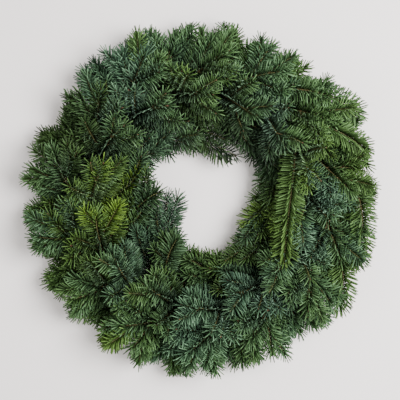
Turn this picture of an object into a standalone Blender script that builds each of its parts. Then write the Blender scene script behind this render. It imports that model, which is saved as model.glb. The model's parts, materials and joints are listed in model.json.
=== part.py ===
"""Fresh fir wreath: a wire ring, bunches of cut fir sprays laid round it, and the wire that binds them.

It lies on its back with +Z up, and its origin is the middle of its underside. Each bunch holds four
sprays, one for each row of the wreath, and all of them grow clockwise as seen from above. Lengths are in
metres and angles in degrees.
"""

import math
import random

import bpy
import numpy as np

# The wires
RING_RADIUS = 0.1778  # a 14-inch ring, measured to the middle of its straight facets
RING_WIRE = 0.0040
RING_FACETS = 42  # three for each bunch
RING_SIDES = 6
REEL_WIRE = 0.0010
TURNS = 2
TURN_PITCH = 0.0030
CLEARANCE = 0.0003  # between pieces that touch

# The sprays
STATIONS = 14
FIRST_STATION = 96.0  # angle of the first bunch's binding, counter-clockwise from +X
SEED = 2048
STEM_RADIUS = 0.0018
SIDE_RADIUS = 0.0015
TIP_RADIUS = 0.0011
BUTT_LENGTH = 0.0095  # cut end of a stem, behind the middle of its binding
BOUND_LENGTH = 0.0085  # straight stem ahead of the middle of its binding
BARE_SHARE = 0.30  # of the stem ahead of that, before its first needles
BUD_LENGTH = 0.0045
MAIN_WHORLS = 4
SIDE_START = 0.014  # from the fork to a side shoot's first needles
SIDE_PITCH = 0.024
MAIN_POINTS = 24  # on a main shoot's curve
SIDE_POINTS = 12
HANDLE_SHARE = 0.35  # length of a main curve's handles, of the way from its binding to its tip
FORWARD_BEND = 0.75  # what is left of a side shoot's angle at its tip
RISE_SHARE = 0.40  # where a stem has one more ring, between its binding and its first needles

# The needles
NEEDLE_LENGTH = 0.023
NEEDLE_BASE = 0.0032  # length of a needle's foot along its shoot
FORK_BASE = 0.0040
NEEDLE_LEAN = 52.0  # away from its shoot
TIP_LEAN = 36.0  # of the needles round a shoot's bud
LEAN_SPREAD = 16.0
NEEDLE_SHARES = (1.0, 0.85, 0.7, 0.55)  # of its length that a needle tries, until it is clear
LEAN_SHARES = (1.0, 0.75, 0.5)
CHECK_SHARES = (0.25, 0.4, 0.55, 0.7, 0.85, 1.0)  # where along a needle its distances are measured
FLOOR_GAP = 0.0015  # foliage stays this far above the surface
NEEDLE_GAP = 0.0026  # between the middles of needles on different sprays
OWN_GAP = 0.0008  # between needles on different shoots of one spray

# How far the sprays differ from their row, either way
LOOSE_AHEAD = 3.0
LOOSE_REACH = 0.008
LOOSE_HEIGHT = 0.006
LOOSE_AIM = 8.0
LOOSE_FACE = 10.0
LOOSE_LENGTH = 0.10
LOOSE_FORK = 5.0
LOOSE_BEND = 0.004

# seat is where the stem lies round the ring wire. reach, height and ahead are where the tip is: its
# radius, its height and how far round the ring it is from the binding. out and lift are the way the tip
# points. face is the way the flat of the spray looks: 0 outwards, 90 up, 180 inwards. Each pair of side
# shoots has the gap between needle whorls that it leaves from, its length and its angle.
ROWS = {
    "outer": dict(
        seat=0, reach=0.256, height=0.028, ahead=23, out=52, lift=0, face=84,
        pairs=((1, 0.070, 44), (2, 0.048, 42)),
    ),
    "shoulder": dict(
        seat=60, reach=0.238, height=0.070, ahead=40, out=38, lift=5, face=78,
        pairs=((2, 0.056, 46),),
    ),
    "crown": dict(
        seat=120, reach=0.160, height=0.092, ahead=38, out=-4, lift=14, face=112,
        pairs=((1, 0.060, 46),),
    ),
    "inner": dict(
        seat=180, reach=0.099, height=0.040, ahead=48, out=-6, lift=4, face=114,
        pairs=((1, 0.052, 36),),
    ),
}

# The hole has three soft corners and is widest on one side, and three inner sprays reach further into it
HOLE_LEAN = 0.008
HOLE_WIDE_SIDE = 40.0
HOLE_CORNERS = 0.014
FIRST_CORNER = 30.0
LONG_SPRAYS = {
    ("inner", 8): dict(reach=0.030, ahead=76, out=0, height=0.024),
    ("inner", 9): dict(reach=0.078, ahead=57),
    ("inner", 13): dict(reach=0.082, ahead=58),
}

UP = np.array([0.0, 0.0, 1.0])
RING_HEIGHT = RING_WIRE / 2 + CLEARANCE + REEL_WIRE  # of the ring's middle above the surface
SEAT_RADIUS = RING_WIRE / 2 + CLEARANCE + STEM_RADIUS
GOLDEN = 0.618


def unit(vector):
    return vector / np.linalg.norm(vector)


def outward(angle):
    """Points away from the wreath's middle at this angle round it."""
    a = math.radians(angle)
    return np.array([math.cos(a), math.sin(a), 0.0])


def clockwise(angle):
    """Points the way that the wreath grows at this angle round it."""
    a = math.radians(angle)
    return np.array([math.sin(a), -math.cos(a), 0.0])


def across(angle, degrees):
    """Points away from the ring wire in its cross-section at this angle, 0 outwards and 90 up."""
    d = math.radians(degrees)
    return math.cos(d) * outward(angle) + math.sin(d) * UP


def station_angle(station):
    return FIRST_STATION - station * 360.0 / STATIONS


def bezier(p0, p1, p2, p3, count):
    t = np.linspace(0.0, 1.0, count)[:, None]
    return (1 - t) ** 3 * p0 + 3 * (1 - t) ** 2 * t * p1 + 3 * (1 - t) * t**2 * p2 + t**3 * p3


class Route:
    """The middle line of a shoot, read by its length."""

    def __init__(self, points, face):
        self.points = np.asarray(points, float)
        self.face = face
        steps = np.linalg.norm(np.diff(self.points, axis=0), axis=1)
        self.marks = np.concatenate([[0.0], np.cumsum(steps)])
        self.length = self.marks[-1]

    def at(self, s):
        return np.array([np.interp(s, self.marks, self.points[:, i]) for i in range(3)])

    def heading(self, s, reach=0.002):
        low, high = max(0.0, s - reach), min(self.length, s + reach)
        return unit(self.at(high) - self.at(low))

    def frame(self, s):
        """The way the shoot heads, the way to its side in its spray's flat, and the way across both."""
        along = self.heading(s)
        side = unit(np.cross(along, self.face))
        return along, side, np.cross(along, side)

    def samples(self, pitch=0.002):
        count = max(2, int(self.length / pitch) + 1)
        return np.array([self.at(s) for s in np.linspace(0.0, self.length, count)])


def whorl_places(length):
    """Where the needle whorls of a main stem of this length are."""
    first = BUTT_LENGTH + BOUND_LENGTH + BARE_SHARE * (length - BUTT_LENGTH - BOUND_LENGTH)
    return np.linspace(first, length - NEEDLE_BASE, MAIN_WHORLS)


def fork_place(length, gap):
    """Where a pair of side shoots leaves a main stem of this length, midway between two whorls."""
    places = whorl_places(length)
    return 0.5 * (places[gap - 1] + places[gap])


def main_route(row, start_angle, near):
    """The main stem of a spray, from its cut end to its tip."""
    grow = clockwise(start_angle)
    middle = RING_RADIUS * outward(start_angle) + RING_HEIGHT * UP
    seat = middle + SEAT_RADIUS * across(start_angle, row["seat"])
    tip_angle = start_angle - row["ahead"] + near(LOOSE_AHEAD)
    out = outward(tip_angle)
    reach = row["reach"] + near(LOOSE_REACH)
    if row is ROWS["inner"]:
        reach += HOLE_LEAN * math.cos(math.radians(tip_angle - HOLE_WIDE_SIDE))
        reach += HOLE_CORNERS * math.cos(math.radians(3 * (tip_angle - FIRST_CORNER)))
    tip = reach * out + (row["height"] + near(LOOSE_HEIGHT)) * UP
    turn = math.radians(row["out"] + near(LOOSE_AIM))
    lift = math.radians(row["lift"] + near(LOOSE_AIM))
    level = math.cos(turn) * clockwise(tip_angle) + math.sin(turn) * out
    aim = math.cos(lift) * level + math.sin(lift) * UP
    start = seat + BOUND_LENGTH * grow
    handle = HANDLE_SHARE * np.linalg.norm(tip - start)
    free = bezier(start, start + handle * grow, tip - handle * aim, tip, MAIN_POINTS)
    face = across(tip_angle, row["face"] + near(LOOSE_FACE))
    return Route(np.vstack([seat - BUTT_LENGTH * grow, free]), face)


def side_route(main, place, length, angle, hand, near):
    """A side shoot that leaves the main stem in the flat of the spray and bends forwards."""
    root = main.at(place)
    along, side, _ = main.frame(place)
    length *= 1 + near(LOOSE_LENGTH)
    angle = math.radians(angle + near(LOOSE_FORK))
    first = math.cos(angle) * along + math.sin(angle) * hand * side
    last = math.cos(FORWARD_BEND * angle) * along + math.sin(FORWARD_BEND * angle) * hand * side
    end = root + 0.5 * (first + last) * length + main.face * near(LOOSE_BEND)
    points = bezier(root, root + first * length / 3, end - last * length / 3, end, SIDE_POINTS)
    return Route(points, main.face)


def lay_sprays():
    """Every spray of the wreath: its shoots, the main one first, and its forks.

    A fork is the gap it lies in, its place on the main stem and the number of its first side shoot.
    """
    draws = random.Random(SEED)

    def near(most):
        return draws.uniform(-most, most)

    sprays = []
    for station in range(STATIONS):
        for name, row in ROWS.items():
            if (name, station) in LONG_SPRAYS:
                row = {**row, **LONG_SPRAYS[name, station]}
            main = main_route(row, station_angle(station), near)
            shoots, forks = [main], []
            for gap, length, angle in row["pairs"]:
                place = fork_place(main.length, gap)
                forks.append((gap, place, len(shoots)))
                shoots += [side_route(main, place, length, angle, hand, near) for hand in (1, -1)]
            sprays.append(dict(name=f"spray_{name}_{station + 1:02d}", shoots=shoots, forks=forks))
    return sprays


class Neighbours:
    """Tells whether a needle stays nearer to its own shoot than to any other, or to the ring."""

    def __init__(self, sprays):
        ring = Route([RING_RADIUS * outward(a) + RING_HEIGHT * UP for a in range(361)], UP)
        places, owners = [ring.samples()], [np.full((len(ring.samples()), 2), -1)]
        for i, spray in enumerate(sprays):
            for j, route in enumerate(spray["shoots"]):
                points = route.samples()
                places.append(points)
                owners.append(np.tile([i, j], (len(points), 1)))
        self.places = np.vstack(places)
        self.owners = np.vstack(owners)

    def near_to(self, point, reach=0.05):
        close = np.abs(self.places - point).max(axis=1) < reach
        return self.places[close], self.owners[close]

    def clear(self, foot, tip, spray, shoot, places, owners):
        if tip[2] < FLOOR_GAP:
            return False
        own = (owners[:, 0] == spray) & (owners[:, 1] == shoot)
        same = (owners[:, 0] == spray) & ~own
        other = owners[:, 0] != spray
        for share in CHECK_SHARES:
            gaps = np.linalg.norm(places - (foot + share * (tip - foot)), axis=1)
            mine = gaps[own].min()
            if other.any() and gaps[other].min() - mine < NEEDLE_GAP:
                return False
            if same.any() and gaps[same].min() - mine < OWN_GAP:
                return False
        return True

    def needle_tip(self, foot, along, away, lean, spray, shoot, around):
        """The tip of a needle, bent forwards or cut short until it clears its neighbours, or None."""
        for length_share in NEEDLE_SHARES:
            for lean_share in LEAN_SHARES:
                angle = math.radians(lean * lean_share)
                way = math.cos(angle) * along + math.sin(angle) * away
                tip = foot + NEEDLE_LENGTH * length_share * way
                if self.clear(foot, tip, spray, shoot, *around):
                    return tip
        return None


class SpraySolid:
    """Grows one spray as one closed body: side shoots and needles are raised from a shoot's facets."""

    def __init__(self, spray, index, neighbours):
        self.spray = spray
        self.index = index
        self.neighbours = neighbours
        self.verts = []
        self.faces = []
        self.whorls = 0
        self.needles = 0
        main = spray["shoots"][0]
        cut_end = self.ring(main, 0.0, STEM_RADIUS, 0.0)
        self.faces.append(tuple(reversed(cut_end)))
        self.grow_main(main, cut_end)

    def ring(self, route, place, thickness, turn):
        """Three corners round a shoot. turn is the first one's angle from the side of the flat."""
        along, side, top = route.frame(place)
        middle = route.at(place)
        corners = []
        for corner in range(3):
            a = math.radians(turn + 120 * corner)
            self.verts.append(middle + thickness * (math.cos(a) * side + math.sin(a) * top))
            corners.append(len(self.verts) - 1)
        return corners

    def stem(self, before, after):
        """The three sides between two rings."""
        for c in range(3):
            d = (c + 1) % 3
            self.faces += [(before[c], before[d], after[d]), (before[c], after[d], after[c])]

    def whorl(self, route, place, length, radius, before, turn, phase):
        """A stretch of shoot whose sides are six facets, each with the angle that it looks to."""
        turn += (phase - turn + 30) % 60 - 30
        thick = radius + (TIP_RADIUS - radius) * place / route.length
        low = self.ring(route, place - length / 2, thick, turn)
        high = self.ring(route, place + length / 2, thick, turn + 60)
        self.stem(before, low)
        facets = []
        for c in range(3):
            d = (c + 1) % 3
            facets.append(((low[c], low[d], high[c]), turn + 120 * c + 60))
            facets.append(((low[d], high[d], high[c]), turn + 120 * c + 120))
        return high, turn + 60, facets

    def needle_whorl(self, route, shoot, place, radius, before, turn, lean):
        phase = 60 * (self.whorls * GOLDEN % 1.0)
        self.whorls += 1
        high, turn, facets = self.whorl(route, place, NEEDLE_BASE, radius, before, turn, phase)
        middle, along = route.at(place), route.heading(place)
        around = self.neighbours.near_to(middle)
        for corners, _ in facets:
            foot = sum(self.verts[v] for v in corners) / 3
            away = unit(foot - middle - along * ((foot - middle) @ along))
            tilt = lean + LEAN_SPREAD * (self.needles * GOLDEN % 1.0 - 0.5)
            self.needles += 1
            tip = self.neighbours.needle_tip(foot, along, away, tilt, self.index, shoot, around)
            if tip is None:
                self.faces.append(corners)
            else:
                self.spike(corners, tip)
        return high, turn

    def spike(self, corners, tip):
        self.verts.append(tip)
        last = len(self.verts) - 1
        for i in range(3):
            self.faces.append((corners[i], corners[(i + 1) % 3], last))

    def grow_main(self, route, foot):
        bound = BUTT_LENGTH + BOUND_LENGTH
        places = whorl_places(route.length)
        turn = 0.0
        for place in (bound, bound + RISE_SHARE * (places[0] - bound)):
            after = self.ring(route, place, STEM_RADIUS, turn)
            self.stem(foot, after)
            foot = after
        forks = {gap: (place, shoot) for gap, place, shoot in self.spray["forks"]}
        for i, place in enumerate(places):
            lean = TIP_LEAN if i == MAIN_WHORLS - 1 else NEEDLE_LEAN
            foot, turn = self.needle_whorl(route, 0, place, STEM_RADIUS, foot, turn, lean)
            if i + 1 in forks:
                foot, turn = self.fork(route, *forks[i + 1], foot, turn)
        self.spike(foot, route.at(route.length) + BUD_LENGTH * route.heading(route.length))

    def fork(self, route, place, shoot, before, turn):
        """Two of the fork's facets, on either side, carry its two side shoots."""
        high, turn, facets = self.whorl(route, place, FORK_BASE, STEM_RADIUS, before, turn, 0.0)
        for corners, angle in facets:
            looks = round(angle) % 360
            if looks == 0:
                self.grow_side(shoot, corners)
            elif looks == 180:
                self.grow_side(shoot + 1, corners)
            else:
                self.faces.append(corners)
        return high, turn

    def grow_side(self, shoot, foot):
        route = self.spray["shoots"][shoot]
        count = max(2, round(route.length / SIDE_PITCH))
        _, side, top = route.frame(SIDE_START)
        first = self.verts[foot[0]] - sum(self.verts[v] for v in foot) / 3
        turn = math.degrees(math.atan2(first @ top, first @ side))
        for i, place in enumerate(np.linspace(SIDE_START, route.length - NEEDLE_BASE, count)):
            lean = TIP_LEAN if i == count - 1 else NEEDLE_LEAN
            foot, turn = self.needle_whorl(route, shoot, place, SIDE_RADIUS, foot, turn, lean)
        self.spike(foot, route.at(route.length) + BUD_LENGTH * route.heading(route.length))


def new_object(name, verts, faces, material):
    mesh = bpy.data.meshes.new(name)
    mesh.from_pydata([tuple(v) for v in verts], [], faces)
    mesh.materials.append(material)
    obj = bpy.data.objects.new(name, mesh)
    bpy.context.scene.collection.objects.link(obj)
    return obj


def new_material(name, color, roughness, metallic):
    material = bpy.data.materials.new(name)
    material.use_nodes = True
    shader = material.node_tree.nodes["Principled BSDF"]
    shader.inputs["Base Color"].default_value = (*color, 1.0)
    shader.inputs["Roughness"].default_value = roughness
    shader.inputs["Metallic"].default_value = metallic
    return material


def make_ring(material):
    """The ring frame: one wire bent to a ring, whose straight facets carry the bunches."""
    corner_radius = RING_RADIUS / math.cos(math.pi / RING_FACETS)
    step = 360.0 / RING_FACETS
    verts, faces = [], []
    for i in range(RING_FACETS):
        angle = FIRST_STATION + (i + 0.5) * step
        middle = corner_radius * outward(angle) + RING_HEIGHT * UP
        for c in range(RING_SIDES):
            verts.append(middle + RING_WIRE / 2 * across(angle, (c + 0.5) * 360.0 / RING_SIDES))
    for i in range(RING_FACETS):
        a, b = RING_SIDES * i, RING_SIDES * ((i + 1) % RING_FACETS)
        for c in range(RING_SIDES):
            d = (c + 1) % RING_SIDES
            faces.append((a + c, b + c, b + d, a + d))
    return new_object("ring_frame", verts, faces, material)


def wrap_corners():
    """One turn of reel wire in the ring's cross-section, tight round the ring and four stems.

    Its six sides look to six equal angles, the first straight down. Each corner lies between two sides
    and comes with the angle that it points to.
    """
    rounds = [(np.zeros(2), RING_WIRE / 2)]
    for row in ROWS.values():
        a = math.radians(row["seat"])
        rounds.append((SEAT_RADIUS * np.array([math.cos(a), math.sin(a)]), STEM_RADIUS))
    corners = []
    for i in range(6):
        looks = [math.radians(270 + 60 * i), math.radians(330 + 60 * i)]
        normals = np.array([[math.cos(a), math.sin(a)] for a in looks])
        widest = [max(n @ middle + r for middle, r in rounds) for n in normals]
        reach = np.array(widest) + CLEARANCE + REEL_WIRE / 2
        corners.append((np.linalg.solve(normals, reach), 300 + 60 * i))
    return corners


def make_reel_wire(material):
    """The reel wire, square in section: turns round each bunch, and a run under the ring to the next."""
    half = REEL_WIRE / 2
    mitre = half / math.cos(math.radians(30))
    corners = wrap_corners()
    first, last = 5, 6 * (TURNS + 1)
    rows = []

    def add(point, u, v):
        rows.append([point + a * u + b * v for a, b in ((1, 1), (-1, 1), (-1, -1), (1, -1))])

    for station in range(STATIONS):
        angle = station_angle(station)
        out, grow = outward(angle), clockwise(angle)
        middle = RING_RADIUS * out + RING_HEIGHT * UP
        for i in range(first, last + 1):
            (x, y), looks = corners[i % 6]
            point = middle + x * out + y * UP + TURN_PITCH / 6 * (i - (first + last) / 2) * grow
            if i in (first, last):
                wire_end = (station, i) in ((0, first), (STATIONS - 1, last))
                add(point, half * grow if wire_end else half * (grow - out), -half * UP)
            else:
                add(point, half * grow, mitre * across(angle, looks))
        if station < STATIONS - 1:
            start, end = corners[last % 6][0], corners[first % 6][0]
            for share in (1 / 3, 2 / 3):
                between = angle - share * 360.0 / STATIONS
                x, y = start + share * (end - start)
                point = RING_RADIUS * outward(between) + RING_HEIGHT * UP + x * outward(between) + y * UP
                add(point, -half * outward(between), -half * UP)
    faces = [(3, 2, 1, 0)]
    for i in range(len(rows) - 1):
        a, b = 4 * i, 4 * (i + 1)
        for c in range(4):
            d = (c + 1) % 4
            faces.append((a + c, a + d, b + d, b + c))
    end = 4 * (len(rows) - 1)
    faces.append((end, end + 1, end + 2, end + 3))
    return new_object("binding_wire", [v for row in rows for v in row], faces, material)


def main():
    for obj in list(bpy.data.objects):
        bpy.data.objects.remove(obj)
    needles = new_material("fir_needles", (0.045, 0.115, 0.045), 0.55, 0.0)
    make_ring(new_material("ring_wire", (0.08, 0.10, 0.08), 0.45, 0.9))
    make_reel_wire(new_material("reel_wire", (0.05, 0.12, 0.06), 0.40, 0.8))
    sprays = lay_sprays()
    neighbours = Neighbours(sprays)
    for index, spray in enumerate(sprays):
        solid = SpraySolid(spray, index, neighbours)
        new_object(spray["name"], solid.verts, solid.faces, needles)


main()
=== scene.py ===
import json
import math
import random

import bpy
import numpy as np
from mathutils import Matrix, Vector

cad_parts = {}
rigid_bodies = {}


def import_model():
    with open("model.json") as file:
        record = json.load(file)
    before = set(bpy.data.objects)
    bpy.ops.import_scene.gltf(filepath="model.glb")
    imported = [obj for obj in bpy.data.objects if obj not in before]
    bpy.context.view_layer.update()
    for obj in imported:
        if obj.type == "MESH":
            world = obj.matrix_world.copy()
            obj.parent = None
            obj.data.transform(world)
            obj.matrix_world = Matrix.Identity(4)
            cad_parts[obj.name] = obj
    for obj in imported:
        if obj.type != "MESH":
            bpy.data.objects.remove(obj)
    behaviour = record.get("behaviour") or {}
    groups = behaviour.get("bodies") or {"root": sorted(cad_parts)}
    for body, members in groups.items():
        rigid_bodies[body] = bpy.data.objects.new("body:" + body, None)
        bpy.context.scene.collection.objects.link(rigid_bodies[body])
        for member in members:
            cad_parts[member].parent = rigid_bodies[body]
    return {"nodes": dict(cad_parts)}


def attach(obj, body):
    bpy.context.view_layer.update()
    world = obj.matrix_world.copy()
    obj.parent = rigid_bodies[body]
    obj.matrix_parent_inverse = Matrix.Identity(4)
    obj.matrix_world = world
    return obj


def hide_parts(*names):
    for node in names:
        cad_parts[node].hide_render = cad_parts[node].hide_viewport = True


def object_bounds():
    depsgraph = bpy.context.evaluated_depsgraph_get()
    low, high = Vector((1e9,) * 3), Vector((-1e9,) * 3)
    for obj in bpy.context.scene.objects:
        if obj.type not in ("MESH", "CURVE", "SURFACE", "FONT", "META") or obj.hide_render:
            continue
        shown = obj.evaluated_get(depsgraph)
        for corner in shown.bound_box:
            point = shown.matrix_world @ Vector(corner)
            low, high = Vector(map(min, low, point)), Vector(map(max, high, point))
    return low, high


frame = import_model()
cadLow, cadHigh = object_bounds()
up = np.array([0.0, 0.0, 1.0])
print("frame loaded:", len(frame["nodes"]), "CAD nodes")

# where everything lies: the same wreath, station by station, as its solids
wreath = {
    "ringRadius": 0.1778,
    "ringWire": 0.0040,
    "reelWire": 0.0010,
    "clearance": 0.0003,
    "stations": 14,
    "firstStation": 96.0,
    "seed": 2048,
    "stemRadius": 0.0018,
    "sideRadius": 0.0015,
    "tipRadius": 0.0011,
    "buttLength": 0.0095,
    "boundLength": 0.0085,
    "bareShare": 0.30,
    "whorls": 4,
    "needleBase": 0.0032,
    "handleShare": 0.35,
    "forwardBend": 0.75,
    "turns": 2, "turnPitch": 0.0030,
    "holeLean": 0.008, "holeWideSide": 40.0,
    "holeCorners": 3, "holeCorner": 0.014, "holeCornerSide": 30.0,
}
# how far a spray and its side shoots may stray from their row
loose = {"ahead": 3.0, "reach": 0.008, "height": 0.006, "aim": 8.0, "face": 10.0,
         "length": 0.10, "fork": 5.0, "bend": 0.004}
rows = {  # reach and height of the tip in metres, ways and sides in degrees
    "outer": {"seat": 0, "reach": 0.256, "height": 0.028, "ahead": 23, "out": 52, "lift": 0,
              "face": 84, "pairs": ((1, 0.070, 44), (2, 0.048, 42))},
    "shoulder": {"seat": 60, "reach": 0.238, "height": 0.070, "ahead": 40, "out": 38, "lift": 5,
                 "face": 78, "pairs": ((2, 0.056, 46),)},
    "crown": {"seat": 120, "reach": 0.160, "height": 0.092, "ahead": 38, "out": -4, "lift": 14,
              "face": 112, "pairs": ((1, 0.060, 46),)},
    "inner": {"seat": 180, "reach": 0.099, "height": 0.040, "ahead": 48, "out": -6, "lift": 4,
              "face": 114, "pairs": ((1, 0.052, 36),)},
}
longSprays = {  # single sprays that reach into the hole
    ("inner", 8): {"reach": 0.030, "ahead": 76, "out": 0, "height": 0.024},
    ("inner", 9): {"reach": 0.078, "ahead": 57},
    ("inner", 13): {"reach": 0.082, "ahead": 58},
}
linePoints = {"main": 24, "side": 12, "under": 10, "fill": 7, "sideFill": 6}

ringHeight = wreath["ringWire"] / 2 + wreath["clearance"] + wreath["reelWire"]
seatRadius = wreath["ringWire"] / 2 + wreath["clearance"] + wreath["stemRadius"]
bound = wreath["buttLength"] + wreath["boundLength"]


def unit(vector):
    return vector / np.linalg.norm(vector)


def clamped(value):
    return min(1.0, max(0.0, value))


def outward(angle):
    a = math.radians(angle)
    return np.array([math.cos(a), math.sin(a), 0.0])


def clockwise(angle):
    a = math.radians(angle)
    return np.array([math.sin(a), -math.cos(a), 0.0])


def across(angle, degrees):  # in the ring's cross-section, 0 outwards and 90 up
    d = math.radians(degrees)
    return math.cos(d) * outward(angle) + math.sin(d) * up


def onRing(angle):
    return wreath["ringRadius"] * outward(angle) + ringHeight * up


def stationAngle(station):
    return wreath["firstStation"] - station * 360.0 / wreath["stations"]


def bezier(p0, p1, p2, p3, count):
    t = np.linspace(0.0, 1.0, count)[:, None]
    return (1 - t) ** 3 * p0 + 3 * (1 - t) ** 2 * t * p1 + 3 * (1 - t) * t**2 * p2 + t**3 * p3


class Route:  # the middle line of a shoot, read by its length
    def __init__(self, points, face):
        self.points = np.asarray(points, float)
        self.face = face
        steps = np.linalg.norm(np.diff(self.points, axis=0), axis=1)
        self.marks = np.concatenate([[0.0], np.cumsum(steps)])
        self.length = self.marks[-1]

    def at(self, s):
        return np.array([np.interp(s, self.marks, self.points[:, i]) for i in range(3)])

    def heading(self, s, reach=0.002):
        low, high = max(0.0, s - reach), min(self.length, s + reach)
        return unit(self.at(high) - self.at(low))

    def frame(self, s):
        along = self.heading(s)
        side = unit(np.cross(along, self.face))
        return along, side, np.cross(along, side)


def whorlPlaces(length):
    first = bound + wreath["bareShare"] * (length - bound)
    return np.linspace(first, length - wreath["needleBase"], wreath["whorls"])


def holeShape(angle):  # the hole is a little off centre and has three soft corners
    lean = wreath["holeLean"] * math.cos(math.radians(angle - wreath["holeWideSide"]))
    turned = wreath["holeCorners"] * (angle - wreath["holeCornerSide"])
    return lean, wreath["holeCorner"] * math.cos(math.radians(turned))


def mainRoute(row, roundHole, startAngle, near):
    grow = clockwise(startAngle)
    seat = onRing(startAngle) + seatRadius * across(startAngle, row["seat"])
    tipAngle = startAngle - row["ahead"] + near(loose["ahead"])
    out = outward(tipAngle)
    reach = row["reach"] + near(loose["reach"])
    if roundHole:
        lean, corner = holeShape(tipAngle)
        reach = reach + lean + corner
    tip = reach * out + (row["height"] + near(loose["height"])) * up
    turn = math.radians(row["out"] + near(loose["aim"]))
    lift = math.radians(row["lift"] + near(loose["aim"]))
    level = math.cos(turn) * clockwise(tipAngle) + math.sin(turn) * out
    aim = math.cos(lift) * level + math.sin(lift) * up
    start = seat + wreath["boundLength"] * grow
    handle = wreath["handleShare"] * np.linalg.norm(tip - start)
    free = bezier(start, start + handle * grow, tip - handle * aim, tip, linePoints["main"])
    face = across(tipAngle, row["face"] + near(loose["face"]))
    return Route(np.vstack([seat - wreath["buttLength"] * grow, free]), face)


def sideRoute(main, place, length, angle, hand, near, points):
    root = main.at(place)
    along, side, _ = main.frame(place)
    length *= 1 + near(loose["length"])
    angle = math.radians(angle + near(loose["fork"]))
    ahead = wreath["forwardBend"] * angle
    first = math.cos(angle) * along + math.sin(angle) * hand * side
    last = math.cos(ahead) * along + math.sin(ahead) * hand * side
    end = root + 0.5 * (first + last) * length + main.face * near(loose["bend"])
    line = bezier(root, root + first * length / 3, end - last * length / 3, end, points)
    return Route(line, main.face)


def laySprays():
    draws = random.Random(wreath["seed"])

    def near(most):
        return draws.uniform(-most, most)

    sprays = []
    for station in range(wreath["stations"]):
        for name, row in rows.items():
            isLong = (name, station) in longSprays
            laid = {**row, **longSprays[name, station]} if isLong else row
            main = mainRoute(laid, name == "inner" and not isLong, stationAngle(station), near)
            places = whorlPlaces(main.length)
            sides = []
            for gap, length, angle in row["pairs"]:
                place = 0.5 * (places[gap - 1] + places[gap])  # halfway between two whorls
                sides += [sideRoute(main, place, length, angle, hand, near, linePoints["side"])
                          for hand in (1, -1)]
            sprays.append({"name": f"spray_{name}_{station + 1:02d}", "row": name,
                           "main": main, "sides": sides})
    return sprays


# the small twigs that fill each spray out between its main twig and its side shoots
filling = {
    "seed": 11,
    "mainTwigs": {"outer": 6, "shoulder": 5, "crown": 5, "inner": 4},
    "mainFrom": 0.06,  # between these shares of the main twig
    "mainTo": 0.90,
    "placeSpread": 0.25,
    "mainLength": 0.078,
    "rootShare": 1.15,  # of that length at the root, and how much less at the tip
    "tipLess": 0.58,
    "lengthSpread": 0.18,
    "inwardShare": 0.55,  # shorter where they point into the hole between these angles
    "inwardFrom": 220.0, "inwardTo": 305.0,
    "footAngle": 58.0, "tipAngle": 30.0,
    "sidePlace": 0.42,
    "sideSpread": 0.05,
    "sideLength": 0.040,
    "underTwigs": {"shoulder": (0.42, 0.080), "crown": (0.45, 0.080)},  # place, length
    "underLift": 0.3,
}


def underRoute(main, share, length):  # runs level round the wreath below a rising shoot
    root = main.at(share * main.length)
    radius = math.hypot(root[0], root[1])
    angle = math.degrees(math.atan2(root[1], root[0]))
    span = math.degrees(length / radius)
    end = radius * outward(angle - span) + root[2] * up
    away = length / 3 * main.heading(share * main.length)
    back = length / 3 * clockwise(angle - span)
    face = unit(outward(angle - span / 2) + filling["underLift"] * up)  # its flat side outwards
    return Route(bezier(root, root + away, end - back, end, linePoints["under"]), face)


def twigHand(row, leansIn, number):  # 1 on the left of the main twig, -1 on its right
    if row == "outer":
        return 1 if number % 3 else -1
    if row == "inner" and not leansIn:
        return -1
    return 1 if number % 2 else -1


def fillSpray(spray, draws):
    def near(most):
        return draws.uniform(-most, most)

    twigs = []
    main, row = spray["main"], spray["row"]
    first = bound + filling["mainFrom"] * (main.length - bound)
    room = filling["mainTo"] * main.length - first
    count = filling["mainTwigs"][row]
    tipX, tipY, _ = main.at(main.length)
    tipAngle = math.degrees(math.atan2(tipY, tipX)) % 360
    leansIn = row == "inner" and filling["inwardFrom"] < tipAngle < filling["inwardTo"]
    closing = filling["tipAngle"] - filling["footAngle"]
    for i in range(count):
        place = first + (i + 0.5 + near(filling["placeSpread"])) * room / count
        hand = twigHand(row, leansIn, i)
        length = filling["mainLength"] * (filling["inwardShare"] if leansIn and hand > 0 else 1.0)
        length *= filling["rootShare"] - filling["tipLess"] * place / main.length
        length *= 1 + near(filling["lengthSpread"])
        angle = filling["footAngle"] + closing * i / (count - 1)
        twigs.append(sideRoute(main, place, length, angle, hand, near, linePoints["fill"]))
    for side in spray["sides"]:
        place = side.length * (filling["sidePlace"] + near(filling["sideSpread"]))
        twigs.append(sideRoute(side, place, filling["sideLength"], filling["tipAngle"], -1, near,
                               linePoints["sideFill"]))
    if row in filling["underTwigs"]:
        twigs.append(underRoute(main, *filling["underTwigs"][row]))
    return twigs


# building blocks for the node trees
nodeDesk = {"across": 200, "down": 150, "rows": 10, "shader": 3200, "output": 3600}


def plug(tree, source, target):  # a link, a plain value, or nothing
    if hasattr(source, "is_output"):
        tree.links.new(source, target)
        beside = source.node.location.x + nodeDesk["across"]
        target.node.location.x = max(target.node.location.x, beside)
    elif source is not None:
        target.default_value = source


def addNode(tree, kind, sockets=None, **settings):
    node = tree.nodes.new(kind)
    node.location.y = -nodeDesk["down"] * (len(tree.nodes) % nodeDesk["rows"])
    for key, value in settings.items():
        setattr(node, key, value)
    for name, value in (sockets or {}).items():
        plug(tree, value, node.inputs[name])
    return node


def newSocket(tree, label, kind, value=None, direction="INPUT"):
    socket = tree.interface.new_socket(label, in_out=direction, socket_type="NodeSocket" + kind)
    if value is not None:
        socket.default_value = value


def newGeometryTree(name, inputs):
    tree = bpy.data.node_groups.new(name, "GeometryNodeTree")
    newSocket(tree, "Geometry", "Geometry")
    for socket in inputs:
        newSocket(tree, *socket)
    newSocket(tree, "Geometry", "Geometry", direction="OUTPUT")
    return tree, addNode(tree, "NodeGroupInput").outputs


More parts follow.
